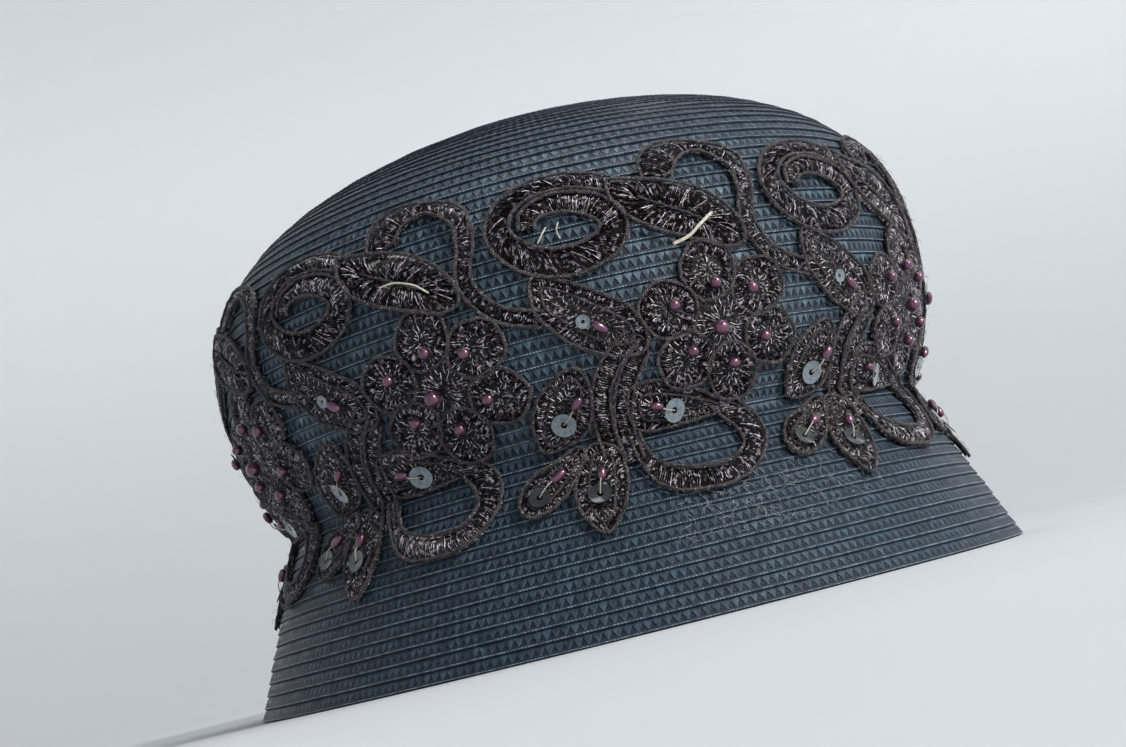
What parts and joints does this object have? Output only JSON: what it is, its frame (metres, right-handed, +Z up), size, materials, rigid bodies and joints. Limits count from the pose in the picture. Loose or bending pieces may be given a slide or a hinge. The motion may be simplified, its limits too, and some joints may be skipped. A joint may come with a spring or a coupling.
{
  "type": "cloche hat",
  "caption": "Braided straw cloche hat: domed hollow crown, flared brim, pierced corded lace trim round the crown, round pearls on its flowers.",
  "frame": {"origin": "centre of the brim's lower edge, on the surface the hat rests on", "axes": "+Z up through the crown's tip, -Y to the front of the head, +X to the right as seen from the front"},
  "size_m": [0.221, 0.2332, 0.147],
  "materials": {
    "navy_straw_braid": "sewn straw braid with a low sheen",
    "black_corded_lace": "corded lace with glinting thread",
    "plum_pearl": "pearlescent"
  },
  "bodies": {
    "root": {"crown_and_brim": "navy_straw_braid", "lace_trim": "black_corded_lace", "centre_pearl_1": "plum_pearl", "centre_pearl_2": "plum_pearl", "centre_pearl_3": "plum_pearl", "centre_pearl_4": "plum_pearl", "centre_pearl_5": "plum_pearl", "centre_pearl_6": "plum_pearl", "centre_pearl_7": "plum_pearl", "centre_pearl_8": "plum_pearl", "centre_pearl_9": "plum_pearl"}
  },
  "joints": []
}
